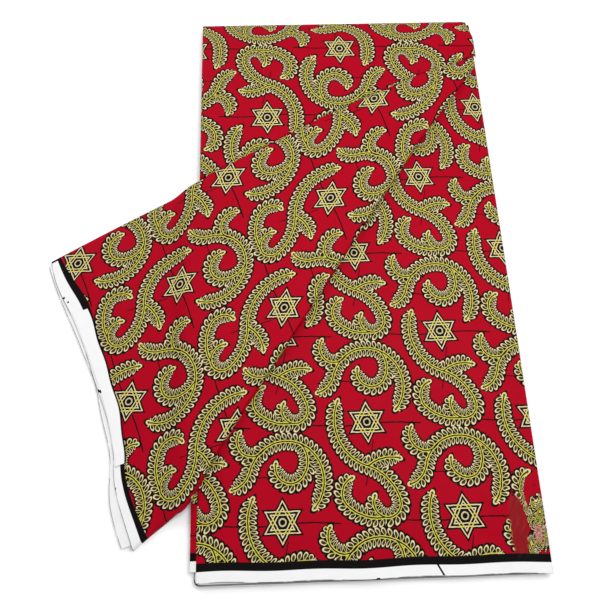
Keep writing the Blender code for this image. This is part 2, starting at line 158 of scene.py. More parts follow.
# Creases pressed by handling: both ends in metres, half width and height in millimetres
BACK_CREASES = [
    ((0.248, 0.085), (0.297, 0.020), 5.0, 1.0),
    ((0.270, 0.095), (0.301, 0.060), 4.0, -0.7),
    ((0.236, 0.030), (0.285, 0.006), 4.5, 0.7),
    ((0.205, 0.175), (0.300, 0.130), 9.0, 0.6),
    ((0.100, 0.200), (0.190, 0.060), 11.0, 0.5),
    ((0.020, 0.090), (0.060, 0.020), 8.0, -0.4),
    ((0.225, 0.370), (0.303, 0.330), 9.0, 0.6),
    ((0.270, 0.460), (0.303, 0.400), 6.0, -0.5),
]
WEDGE_CREASES = [
    ((0.250, 0.500), (0.040, 0.330), 8.0, 0.9),
    ((0.230, 0.470), (0.000, 0.180), 7.0, -0.6),
    ((0.200, 0.462), (-0.020, 0.352), 6.0, -0.5),
    ((0.020, 0.110), (-0.040, 0.080), 7.0, 0.8),
    ((-0.060, 0.300), (-0.125, 0.180), 9.0, 0.5),
    ((-0.020, 0.140), (-0.075, 0.120), 7.0, -0.5),
]
CREASE_BOW = 0.06
CREASE_FADE = 0.35
TOP_CREASES = [
    ((0.010, 0.545), (0.150, 0.565), 8.0, 0.5),
    ((0.180, 0.560), (0.290, 0.545), 7.0, -0.4),
    ((0.030, 0.450), (0.120, 0.520), 9.0, 0.5),
]

# How the print lies on each stretch: its place across and along the cloth from 1, x, y and x times y
BACK_LAY = ((-0.0747, 1.0009, -0.0311, 0.2541), (-0.0467, -0.0007, 0.9950, -0.0166))
WEDGE_LAY = ((0.2640, 0.5255, -0.9312, 0.0455), (-0.0780, 0.9970, 0.3566, -0.3011))
TOP_LAY = ((0.1495, -0.9852, 0.0, 0.0), (0.5172, 0.0, -0.9434, 0.0))

# The turn over the widthwise fold, and where the crease holds both stretches down; a fade is where it
# starts and how far it runs
FOLD_SLACK = 13 * MM
FOLD_SLACK_FADE = (-20 * MM, 28 * MM)
FOLD_DROP = 0.7 * MM
FOLD_EASE = 24 * MM
TOP_CROWN_FADE = 50 * MM
TOP_CREASE_FADES = (12 * MM, 10 * MM)
TUCK_FADE = (1 * MM, 9 * MM)

# Sways of the cut edges: size in millimetres, rate and start
BACK_SWAY = ((0.5, 23, 0), (0.4, 9, 1))
SECOND_SWAY = ((0.4, 31, 0),)
WEDGE_SWAY = ((0.7, 17, 0),)
TURNED_SWAY = ((0.6, 21, 0), (0.5, 8, 2))
FAN_SWAY_RATE = 31
FAN_SWAY = 0.3
WEDGE_SWAY_FADE = 0.06
BACK_SLANT = -1.5 * MM

# Low relief, and the rounding of the sheets' side edges; a bent wave is its rate, its bend and the
# bend's own rate
BACK_RIPPLE = 0.25 * MM
BACK_RIPPLE_WAVE = (95, 2, 30)
BACK_RIPPLE_FADE = 30 * MM
UNDER_FRONT_FADE = (0.01, 0.02)
BACK_TROUGH = -0.35 * MM
WEDGE_TROUGH = -0.4 * MM
WEDGE_CREASE_DEPTH = 0.37
WEDGE_CREASE_FADE = 0.1
WEDGE_POINT_X = 300 * MM
WEDGE_POINT_FADE = 20 * MM
FAN_LIP = 0.2
BACK_ROUND = 1.1 * MM
SECOND_ROUND = 0.9 * MM
TURNED_ROUND = 1.0 * MM
SHARP_ANGLE = math.radians(60)

# Grid lines across and along each sheet, and round a rolled edge
BACK_GRID = (150, 260)
SECOND_GRID = (60, 90)
FAN_GRID = (40, 120)
TURNED_GRID = (16, 60)
TOP_GRID = (120, 80, 22)
WEDGE_GRID = (170, 130)
ROLL_STEPS = 8
EDGE_CROWDING = 0.6

# The print, in metres of cloth: stars on a half-drop lattice
STAR_PITCH = (163 * MM, 168 * MM)
STAR_TIP = 18.7 * MM
STAR_BAND = 3.7 * MM
STAR_GAP = (-0.95 * MM, -2.75 * MM)
STAR_OUTLINE = 1.6 * MM
STAR_RING = (3.6 * MM, 2.4 * MM)
RING_SHARE = 0.8
LINE_SOFT = 0.12 * MM
EDGE_SOFT = 0.2 * MM
BORDER_SOFT = 0.25 * MM
SPRAYS = [
    # first point from the star, its heading, each bend's radius and turn (mm, degrees), and whether it
    # springs from another spray
    ((29.7, 11.6), 48.3, ((34.6, 206.5), (21.6, -59.4)), False),
    ((18.6, 65.9), -49.6, ((22.3, -79.4), (14.0, -150.8)), True),
    ((-15.9, 63.0), -123.2, ((14.1, -174.4),), True),
    ((135.7, 19.0), -114.1, ((42.9, 95.2), (42.7, -54.2), (12.4, -221.2)), False),
    ((173.3, -82.7), -171.3, ((39.2, -51.9), (14.2, -113.6)), True),
    ((161.0, -39.2), 36.7, ((35.9, -49.1),), True),
]
STEM_BONUS = 40 * MM
BEND_MIDDLE = 0.62
PAST_END_WEIGHT = 2.2
TAPER_TIP = 3.5 * MM
TAPER_LENGTH = 11 * MM
TAPER_LEAST = 0.03
SPRAY_END = (-0.5 * MM, 0.5 * MM)

# Leaflets off the midrib and the tip; a pair is a limit and its softness
LEAFLET_PITCH = 4.8 * MM
LEAF_UNIT = 1.13 * MM
LEAF_LEAN = 0.34
LEAF_MIDDLE = 3.7 * LEAF_UNIT
LEAF_HALF_LENGTH = 3.4 * LEAF_UNIT
LEAF_HALF_WIDTH = 1.7 * LEAF_UNIT
LEAF_FILLS = (1.0 * LEAF_UNIT, 4.4 * LEAF_UNIT)
LEAF_NECK = 0.45
LEAF_RIM = (1.0, 0.05)
LEAF_SLIT = (0.65, 0.08)
LEAF_HALO = (1.6, 0.06)
HALO_REACH = (8.5 * LEAF_UNIT, 0.2 * MM)
BODY_REACH = (6.8 * LEAF_UNIT, 0.15 * MM)
BASE_REACH = (2.0 * LEAF_UNIT, 2.0 * LEAF_UNIT)
TIP_LENGTH = 3.6 * LEAF_UNIT
TIP_HALF_WIDTH = 2.1 * LEAF_UNIT
TIP_SLIT = (0.56, 0.05)
RIB = (1.2 * LEAF_UNIT, 0.12 * MM)
RIB_LINE = (0.50 * LEAF_UNIT, 0.1 * MM)

# Hair veins round each star, two level and one upright: place off the star, half width, middle and half
# length (millimetres)
VEINS = [
    (-2, 0.62, 0, 52),
    (37, 0.48, -12, 44),
    (9, 0.48, -36, 20),
]
VEIN_RIPPLE = 1.0 * MM
VEIN_RIPPLE_RATE = 70.0
VEIN_LEAN = 0.25
VEIN_FADE = 1 * MM

# Unevenness of the print; painted shade over a smooth fold and a painted pink highlight in the crumpled
# corner; and on the bare selvedge a broken painted shadow line along its edge and grey mottling of real
# marks and painted shade
WOBBLE_SCALE = 260.0
WOBBLE = 0.9 * MM
CLOUD_SCALE = 14.0
CLOUD_SHARE = 0.5
PATCH_SHAKE = (3 * MM, 9 * MM, 0.0)
PATCH_SQUARENESS = 3.0
# Softness of the patch of painted shade over a smooth fold in the crumpled corner
FOLD_SHADE_SOFT = 0.4
# Softness and share of the painted pink highlight in the crumpled corner
HIGHLIGHT_SOFT = 0.95
HIGHLIGHT_SHARE = 0.6
# Grey mottling of the bare selvedges: real grey marks and painted shade
MARKS_AND_SHADE_SCALE = 90.0
MARKS_AND_SHADE_SHARE = 0.2
# Painted shadow line along the outer edge of each bare selvedge, where it meets the ply below, with breaks
EDGE_SHADOW = (0.42 * MM, 0.12 * MM)
EDGE_SHADOW_SHARE = 0.8
EDGE_SHADOW_BREAKS = (0.56, 0.05)
EDGE_SHADOW_BREAK_SCALE = 55.0
EDGE_SHADOW_BREAK_STRETCH = (1.0, 0.1, 0.0)

# Surface of the cloth and of the hidden plies' edges; a bump is its strength and distance
THREAD = 0.45 * MM
SLUB_SCALE = 160.0
SLUB_STRETCH = (1.0, 9.0, 1.0)
RUMPLE_SCALE = 22.0
RUMPLE_DISTORTION = 0.6
ROUGHNESS = (0.42, 0.66)
RUMPLE_BUMP = (0.35, 0.0016)
WEAVE_BUMP = (0.25, 0.00012)
# Clear coat over the patch of painted fold shade in the crumpled corner
FOLD_SHADE_COAT = 0.04
FOLD_SHADE_COAT_ROUGHNESS = 0.4
CLOTH_SPECULAR = 0.03
LAYER_PITCH = 0.4 * MM
LAYER_LINE = (-0.6, 0.2)
LAYER_BUMP = (0.5, 0.0003)
LAYER_ROUGHNESS = 0.8
STAIN_SCALE = 60.0
STAIN_STRETCH = (1.0, 1.0, 6.0)
STAIN_LIMIT = (0.47, 0.02)
PALE_EDGE = 14 * MM

# Widths of the bare selvedge and of the black border beside it
BACK_BARE = 9 * MM
BACK_BORDER = 6.8 * MM
WEDGE_BORDER = 5.5 * MM
FAN_BARE = 12 * MM
HIDDEN_BORDER = 5 * MM

# Crumpled patch at the lower right corner
CRUMPLE_ACROSS = (262 * MM, 284 * MM, 303.5 * MM, 306.5 * MM)
CRUMPLE_ALONG = (9 * MM, 17 * MM, 56 * MM, 86 * MM)
CRUMPLE_HEIGHT = 0.8 * MM
CRUMPLE_WAVE = (900, 3, 260)
CRUMPLE_DRAG = 1.5 * MM
CRUMPLE_DRAG_FADE = (0.290, 0.012)
CRUMPLE_WAVE_ACROSS = (760, 2, 310)
CRUMPLE_WAVE_ALONG = (830, 4, 190)
CRUMPLE_SHIFT = (18 * MM, 8 * MM)
CRUMPLE_SHIFT_FADE = (0.288, 0.006)
# Patch of painted shade over a smooth fold in the crumpled corner: middle and reach
FOLD_SHADE_MIDDLE = (1.2822, 0.0370)
FOLD_SHADE_REACH = (0.0072, 0.0265)
# Painted pink highlight in the crumpled corner: middle and reach
HIGHLIGHT_MIDDLE = (1.2995, 0.0320)
HIGHLIGHT_REACH = (0.0036, 0.0080)

# Dark marks on the bare selvedges: place along the strip, counted from where each stretch's strip starts,
# then lean, half width, and from and to off the edge (millimetres)
BACK_STRIP = 1
WEDGE_STRIP = 2
TURNED_STRIP = 4
MARKS = [
    (1.2130, -0.55, 0.95, 0.5, 10.5),
    (1.1560, 0.0, 1.6, 0.0, 1.1),
    (2.0440, 0.0, 1.0, 0.0, 1.9),
    (2.0500, 0.0, 0.8, 1.6, 3.0),
    (2.1450, 0.3, 1.6, 0.0, 1.9),
    (4.0840, 0.0, 1.5, 25.0, 28.6),
    (2.2360, 0.0, 0.9, 0.0, 1.1),
    (2.0025, 0.0, 1.5, 0.0, 13.0),
]

# Camera, fitted to the photograph: its aim on the surface, its distance and its turns
CAMERA_AIM = (0.0976, 0.2555, 0.0)
CAMERA_DISTANCE = 0.6201
CAMERA_TILT = 0.32674
CAMERA_TURN = -0.07384
CAMERA_ROLL = 0.042455
CAMERA_LENS = 37.246
CAMERA_SENSOR = 36
CAMERA_CLIP = 0.01

WORLD_STRENGTH = 0.62
LIGHTS = [
    # name, place, size, power
    ("overhead", (0.28, 0.05, 0.80), 0.5, 4.2),
    ("key", (-0.60, 0.85, 0.95), 0.7, 6.0),
]
FLOOR_SIZE = 6
FLOOR_DROP = 0.2 * MM
FLOOR_ROUGHNESS = 0.9

# Colours, linear
RED = (0.385, 0.0010, 0.0125, 1.0)
DEEP_RED = (0.250, 0.0008, 0.0070, 1.0)
INK = (0.0050, 0.0038, 0.0042, 1.0)
CREAM = (0.68, 0.58, 0.32, 1.0)
YELLOW = (0.55, 0.50, 0.075, 1.0)
OLIVE = (0.038, 0.031, 0.006, 1.0)
# Painted shade of a smooth fold in the crumpled corner
PAINTED_FOLD_SHADE = (0.230, 0.008, 0.011, 1.0)
# Painted pink highlight in the crumpled corner
PAINTED_HIGHLIGHT = (0.48, 0.15, 0.17, 1.0)
SELVEDGE = (0.80, 0.80, 0.80, 1.0)
GREY = (0.55, 0.55, 0.56, 1.0)
WHITE = (1.0, 1.0, 1.0, 1.0)


def smooth(value):
    """Ease from 0 to 1."""
    value = min(1.0, max(0.0, value))
    return value * value * (3 - 2 * value)


def past(fade, value):
    """0 before a fade's start, 1 past its end."""
    return smooth((value - fade[0]) / fade[1])


def plateau(places, value):
    """0 before the first place, 1 from the second to the third, 0 past the fourth."""
    return (smooth((value - places[0]) / (places[1] - places[0]))
            * smooth((places[3] - value) / (places[3] - places[2])))


def mix(first, second, share):
    return first + (second - first) * share


def catmull(values, places, place):
    """Smooth value at a place, through values that stand at the given places."""
    last = len(places) - 1
    index = max(i for i in range(last) if places[i] <= place or i == 0)
    start, end = places[index], places[index + 1]
    span = end - start
    share = (place - start) / span

    def slope(i):
        before, after = max(0, i - 1), min(last, i + 1)
        return (values[after] - values[before]) / (places[after] - places[before])

    square, cube = share * share, share ** 3
    return ((2 * cube - 3 * square + 1) * values[index]
            + (cube - 2 * square + share) * span * slope(index)
            + (3 * square - 2 * cube) * values[index + 1]
            + (cube - square) * span * slope(index + 1))


STATION_PLACES = [station[0] for station in WEDGE_STATIONS]
UPPER, LOWER = 1, 2


def wedge_edge(side, along):
    """Plan point on the UPPER or LOWER edge of the wedge."""
    return tuple(catmull([station[side][axis] for station in WEDGE_STATIONS], STATION_PLACES, along)
                 for axis in (0, 1))


def wedge_width(along):
    return math.dist(wedge_edge(UPPER, along), wedge_edge(LOWER, along))


def wedge_plan(along, across, outward=0.0):
    """Plan point on the wedge, or past its selvedge by outward."""
    bow = catmull(BOW, BOW_PLACES, across) * MM
    outward += bow * max(0.0, 1 - along / BOW_FADE) ** 2
    upper, lower = wedge_edge(UPPER, along), wedge_edge(LOWER, along)
    width = math.dist(upper, lower)
    normal = ((lower[1] - upper[1]) / width, -(lower[0] - upper[0]) / width)
    return (mix(upper[0], lower[0], across) + normal[0] * outward,
            mix(upper[1], lower[1], across) + normal[1] * outward)


def back_top(x, y):
    """Height of the back panel's upper face in the solids."""
    height = BACK_PANEL_TOP
    for place, reach, rise in BACK_SWELLS:
        across, along = (x - place[0]) / reach[0], (y - place[1]) / reach[1]
        height += rise * MM * math.exp(-across * across - along * along)
    return height


def drape(x):
    """1 on the bundle, 0 on the ground beside it."""
    return smooth((x - DRAPE_FOOT_X) / (DRAPE_TOP_X - DRAPE_FOOT_X))


def wedge_base(x, y):
    return drape(x) * (back_top(x, y) + GAP)


def wedge_lift(x):
    return mix(WEDGE_GROUND_LIFT, WEDGE_LIFT, drape(x))


def wedge_relief(along, across):
    """Soft ridges just inside both rolled edges, and waves that fan out from the point."""
    width = wedge_width(along)
    relief = 0.0
    for distance, height in ((across * width, UPPER_RIDGE), ((1 - across) * width, LOWER_RIDGE)):
        relief += height * math.exp(-((distance - RIDGE_INSET) / RIDGE_REACH) ** 2)
    wave = math.sin(RADIAL_WAVE_COUNT * math.pi * across) * math.sin(math.pi * across)
    relief += RADIAL_WAVE * max(0.0, wave) * smooth(width / RADIAL_WAVE_WIDTH)
    return relief * plateau(WEDGE_RELIEF_ALONG, along)


def crease_relief(x, y, creases):
    """Height added at a point by a table of pressed creases."""
    total = 0.0
    for crease in creases:
        (x0, y0), (x1, y1), width, height = crease
        length = math.dist(*crease[:2])
        along = ((x - x0) * (x1 - x0) + (y - y0) * (y1 - y0)) / length
        across = ((x - x0) * (y1 - y0) - (y - y0) * (x1 - x0)) / length
        bow = across - CREASE_BOW * length * math.sin(math.pi * along / length)
        fade_length = CREASE_FADE * length
        fade = smooth(along / fade_length) * smooth((length - along) / fade_length)
        total += height * MM * fade * math.exp(-(bow / (width * MM)) ** 2)
    return total


def crease_samples(count=120):
    """Points of the wedge's upper edge where it runs along the top panel."""
    return [wedge_edge(UPPER, mix(WEDGE_LEAVES_BUNDLE, 1.0, i / count)) for i in range(count + 1)]


def crease_y(x, samples):
    """Height up the page of the crease at an x, kept level past its two ends."""
    if x <= samples[0][0]:
        return samples[0][1]
    for (x0, y0), (x1, y1) in zip(samples, samples[1:]):
        if x <= x1:
            return mix(y0, y1, (x - x0) / (x1 - x0))
    return samples[-1][1]


def print_place(lay, x, y):
    """Where a point lies on the cloth, for a stretch whose print is slightly drawn out of square."""
    return tuple(row[0] + row[1] * x + row[2] * y + row[3] * x * y for row in lay)


def cloth_sheet(name, columns, rows, place):
    """A thin closed sheet of cloth.

    place(c, r), with c and r from 0 to 1, gives the point in space, its place in the print, and
    its place along and away from the selvedge. The thickness lies below the shaped side.
    """
    bpy.ops.object.select_all(action="DESELECT")
    bpy.ops.mesh.primitive_grid_add(x_subdivisions=columns - 1, y_subdivisions=rows - 1, size=2)
    cloth = bpy.context.object
    cloth.name = name
    mesh = cloth.data
    mesh.name = name
    spots = [place((v.co.x + 1) / 2, (v.co.y + 1) / 2) for v in mesh.vertices]
    for vertex, spot in zip(mesh.vertices, spots):
        vertex.co = Vector(spot[0]) + SHIFT
    while mesh.uv_layers:
        mesh.uv_layers.remove(mesh.uv_layers[0])
    for index, layer_name in ((1, "print"), (2, "edge")):
        layer = mesh.uv_layers.new(name=layer_name)
        for loop in mesh.loops:
            layer.data[loop.index].uv = spots[loop.vertex_index][index]
    if sum(face.normal.z * face.area for face in mesh.polygons) < 0:
        mesh.flip_normals()
    solid = cloth.modifiers.new("cloth", "SOLIDIFY")
    solid.thickness = CLOTH
    solid.offset = -1
    bpy.ops.object.modifier_apply(modifier="cloth")
    cloth.data.shade_smooth()
    cloth.data.set_sharp_from_angle(angle=SHARP_ANGLE)
    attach(cloth, "root")
    return cloth


def crumple(x, y):
    """1 in the crumpled patch at the lower right corner of the back panel, 0 outside it."""
    return plateau(CRUMPLE_ACROSS, x) * plateau(CRUMPLE_ALONG, y)


def bent_wave(rates, along, across):
    """A sine wave whose crests bend from side to side."""
    rate, bend, bend_rate = rates
    return math.sin(rate * along + bend * math.sin(bend_rate * across))


def sway(rows, place):
    """Sum of sine waves along a cut edge."""
    return sum(size * MM * math.sin(rate * place + start) for size, rate, start in rows)


def panel_right(y):
    return PANEL_WIDTH + PANEL_SPREAD * (1 - y / SELVEDGE_TO_FOLD)


def side_drop(distance, radius):
    """How far a folded side edge has rounded down at a distance from it."""
    if distance >= radius:
        return 0.0
    return radius - math.sqrt(max(0.0, radius * radius - (radius - distance) ** 2))


def ease_to_edges(value):
    """Spread grid lines so that the outermost ones crowd the edges."""
    return mix(value, (1 - math.cos(math.pi * value)) / 2, EDGE_CROWDING)


def make_back_cloth():
    def place(c, r):
        c = ease_to_edges(c)
        low = BACK_SLANT * c + sway(BACK_SWAY, c)
        y = mix(low, PANEL_END_Y, r)
        x = mix(0.0, panel_right(y), c)
        ripple = BACK_RIPPLE * bent_wave(BACK_RIPPLE_WAVE, x, y) * smooth(1 - y / BACK_RIPPLE_FADE)
        relief = max(BACK_TROUGH, crease_relief(x, y, BACK_CREASES) + ripple)
        z = back_top(x, y) + relief * past(UNDER_FRONT_FADE, crease_y(x, SAMPLES) - y)
        z -= side_drop(min(x, panel_right(y) - x), BACK_ROUND)
        crumpled = crumple(x, y)
        z += crumpled * CRUMPLE_HEIGHT * bent_wave(CRUMPLE_WAVE, x, y) ** 3
        u, v = print_place(BACK_LAY, x, y)
        drag = crumpled * CRUMPLE_DRAG * (1 + past(CRUMPLE_DRAG_FADE, x))
        pulled = crumpled * past(CRUMPLE_SHIFT_FADE, x)
        u += drag * bent_wave(CRUMPLE_WAVE_ACROSS, y, x) + pulled * CRUMPLE_SHIFT[0]
        v += drag * bent_wave(CRUMPLE_WAVE_ALONG, x, y) + pulled * CRUMPLE_SHIFT[1]
        return (x, y, z), (u, v), (BACK_STRIP + x, y - low)

    cloth = cloth_sheet("back_cloth", *BACK_GRID, place)
    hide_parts("back_panel")
    return cloth


def make_second_cloth():
    def place(c, r):
        c = ease_to_edges(c)
        low = mix(*SECOND_PLY_SELVEDGE, c) + sway(SECOND_SWAY, c)
        y = mix(low, PANEL_END_Y, r)
        left = SECOND_PLY_LEFT * (1 - past(SECOND_LEFT_FADE, y)) - SECOND_PLY_INSET[0]
        right = panel_right(y) - SECOND_PLY_INSET[1]
        x = mix(left, right, c)
        z = SECOND_PLY_TOP - side_drop(min(x - left, right - x), SECOND_ROUND)
        shift_x, shift_y = SECOND_PRINT_SHIFT
        return (x, y, z), print_place(BACK_LAY, x + shift_x, y + shift_y), (x, y - low)

    cloth = cloth_sheet("back_second_cloth", *SECOND_GRID, place)
    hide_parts("back_second_ply")
    return cloth


# Quarter turn of a rolled edge: inset, rise and length of cloth from its top, all per roll
ROLL_TURNS = [math.pi / 2 * step / ROLL_STEPS for step in range(ROLL_STEPS + 1)]
ROLL = [(1 - math.cos(turn), math.sin(turn), math.pi / 2 - turn) for turn in ROLL_TURNS]


def lines(kind, count, spans):
    """Grid lines of a stretch between its rolled edges, without its first one."""
    return [(kind, (i + 1) / spans, 1.0, 0.0) for i in range(count)]


def top_panel_right(y):
    rise = (y - (SELVEDGE_TO_FOLD - TOP_PANEL_CORNER_RISE)) / TOP_PANEL_CORNER_RISE
    return TOP_PANEL_RIGHT - TOP_PANEL_CORNER_CUT * smooth(rise)


def make_top_cloth():
    inner_columns, inner_rows, fold_steps = TOP_GRID
    roll = TOP_PANEL_ROLL
    roll_length = (roll + FRONT_LIFT) / 2
    columns = ([("left", *ring) for ring in ROLL]
               + lines("inner", inner_columns - 1, inner_columns)
               + [("right", *ring) for ring in reversed(ROLL)])
    rows = ([("crease", *ring) for ring in ROLL]
            + lines("inner", inner_rows, inner_rows)
            + lines("fold", fold_steps, fold_steps))
    foot = FRONT_BASE + FOOT_CLEARANCE

    def column_place(column, y):
        kind, value, rise, turn = columns[column]
        left, right = TOP_PANEL_LEFT, top_panel_right(y)
        if kind == "left":
            return left + value * roll, rise, left + roll - turn * roll_length
        if kind == "right":
            return right - value * roll, rise, right - roll + turn * roll_length
        x = mix(left + roll, right - roll, value)
        return x, rise, x

    def place(c, r):
        column, row = round(c * (len(columns) - 1)), round(r * (len(rows) - 1))
        kind, value, row_rise, turn = rows[row]
        low = crease_y(column_place(column, 0.5)[0], SAMPLES) + CREASE_CLEARANCE
        roll_depth = roll * CREASE_SLOPE_STRETCH
        height = None
        if kind == "crease":
            tucked = past(TUCK_FADE, column_place(column, low)[0])
            row_rise = mix(row_rise, mix(CREASE_DEPTH, 1.0, row_rise), tucked)
            y = low + value * roll_depth
            cloth_y = low + roll_depth - turn * roll_length
        elif kind == "inner":
            y = cloth_y = mix(low + roll_depth, FOLD_AXIS_Y, value)
        else:
            angle = mix(math.pi / 2, FOLD_TUCK_ANGLE, value)
            y = FOLD_AXIS_Y + FOLD_REACH * math.cos(angle)
            cloth_y = FOLD_AXIS_Y + (math.pi / 2 - angle) * FOLD_REACH
            height = FOLD_AXIS_Z * (1 + math.sin(angle)) - FOLD_DROP * max(0.0, math.sin(angle))
        x, column_rise, cloth_x = column_place(column, y)
        if height is None:
            crown = math.sin(math.pi * min(1.0, max(0.0, x / PANEL_WIDTH)))
            crown *= smooth((FOLD_AXIS_Y - y) / TOP_CROWN_FADE)
            near, far = TOP_CREASE_FADES
            inside = smooth((y - low) / near) * smooth((FOLD_AXIS_Y - y) / far)
            relief = crease_relief(x, y, TOP_CREASES) * inside
            eased = smooth(1 + (y - FOLD_AXIS_Y) / FOLD_EASE)
            lift = BUNDLE_TOP - FOLD_DROP * eased + TOP_SWELL * crown + relief - foot
            height = foot + lift * column_rise * row_rise
        elif height > foot:
            height = foot + (height - foot) * column_rise
        cloth_y += FOLD_SLACK * past(FOLD_SLACK_FADE, y - FOLD_AXIS_Y)
        return (x, y, height), print_place(TOP_LAY, cloth_x, cloth_y), (x, 1.0)

    cloth = cloth_sheet("top_cloth", len(columns), len(rows), place)
    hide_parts("top_panel")
    return cloth


def make_wedge_cloth():
    inner_columns, inner_rows = WEDGE_GRID
    end_roll = WEDGE_ROLL / WEDGE_LENGTH
    rows = ([("lower", *ring) for ring in ROLL]
            + lines("inner", inner_rows - 1, inner_rows)
            + [("upper", *ring) for ring in reversed(ROLL)])
    columns = ([(i / inner_columns * (1 - end_roll), 1.0) for i in range(inner_columns)]
               + [(1 - inset * end_roll, rise) for inset, rise, _ in reversed(ROLL)])

    def place(c, r):
        along, column_rise = columns[round(c * (len(columns) - 1))]
        kind, value, row_rise, turn = rows[round(r * (len(rows) - 1))]
        width = wedge_width(along)
        share = WEDGE_ROLL / width
        tuck = turn * (WEDGE_ROLL + FRONT_LIFT) / 2 / width
        if kind == "upper":
            edge_x = wedge_edge(UPPER, along)[0]
            tucked = past(TUCK_FADE, edge_x) * smooth((WEDGE_POINT_X - edge_x) / WEDGE_POINT_FADE)
            across = value * share - tucked * (1 - row_rise) * CREASE_TUCK / width
            cloth_across = mix(share - tuck, across, tucked)
            row_rise = mix(row_rise, mix(WEDGE_CREASE_DEPTH, 1.0, row_rise), tucked)
        elif kind == "lower":
            across, cloth_across = 1 - value * share, 1 - share + tuck
        else:
            across = cloth_across = mix(1 - share, share, value)
        outward = sway(WEDGE_SWAY, across) * smooth(1 - along / WEDGE_SWAY_FADE)
        x, y = wedge_plan(along, across, outward)
        rise = row_rise * column_rise
        creased = crease_relief(x, y, WEDGE_CREASES) * smooth(along / WEDGE_CREASE_FADE)
        relief = max(WEDGE_TROUGH, wedge_relief(along, across) + creased)
        lift = wedge_lift(x) + relief - FOOT_CLEARANCE
        z = wedge_base(x, y) + FOOT_CLEARANCE + lift * rise
        on_cloth = print_place(WEDGE_LAY, *wedge_plan(along, cloth_across))
        bare = WEDGE_BARE + catmull(BARE_WANDER, BARE_PLACES, across) * MM
        edge = along * mix(UPPER_RUN, LOWER_RUN, across) * WEDGE_BARE / bare
        return (x, y, z), on_cloth, (WEDGE_STRIP + across * width, edge)

    cloth = cloth_sheet("wedge_cloth", len(columns), len(rows), place)
    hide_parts("wedge_panel")
    return cloth


def make_fan_cloth(ply):
    def place(c, r):
        out = (catmull(ply["reach"], FAN_PLACES, r)
               + FAN_SWAY * math.sin(FAN_SWAY_RATE * r + ply["base"])) * MM
        along = FAN_PLY_END * max(0.0, (c - FAN_LIP) / (1 - FAN_LIP))
        share = FAN_SIDE_INSET / wedge_width(along)
        x, y = wedge_plan(along, mix(share, 1 - share, r), out * max(0.0, 1 - c / FAN_LIP))
        z = ply["base"] * MM + PLY_WALL
        distance = out * min(1.0, c / FAN_LIP) + along * WEDGE_LENGTH
        return (x, y, z), print_place(WEDGE_LAY, x, y), (ply["base"] + r * FAN_PLY_LENGTH, distance)

    cloth = cloth_sheet(ply["node"].replace("ply", "cloth"), *FAN_GRID, place)
    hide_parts(ply["node"])
    return cloth


def make_turned_strip():
    def place(c, r):
        down = mix(*TURNED_RUN, r)
        width = mix(*TURNED_WIDTH, r) + sway(TURNED_SWAY, r)
        inward = mix(TURNED_OUTER, width, c)
        x, y = wedge_plan(0.0, down, -inward)
        base = wedge_base(x, y) + wedge_lift(x) + wedge_relief(inward / WEDGE_LENGTH, down)
        z = base + TURNED_REST + PLY_WALL * (1 - TURNED_THINNING * c)
        z -= side_drop(inward - TURNED_OUTER, TURNED_ROUND)
        on_edge = (TURNED_STRIP + r * TURNED_LENGTH, TURNED_BARE - (width - inward))
        return (x, y, z), (x, y), on_edge

    cloth = cloth_sheet("turned_strip", *TURNED_GRID, place)
    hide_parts("turned_selvedge")
    return cloth


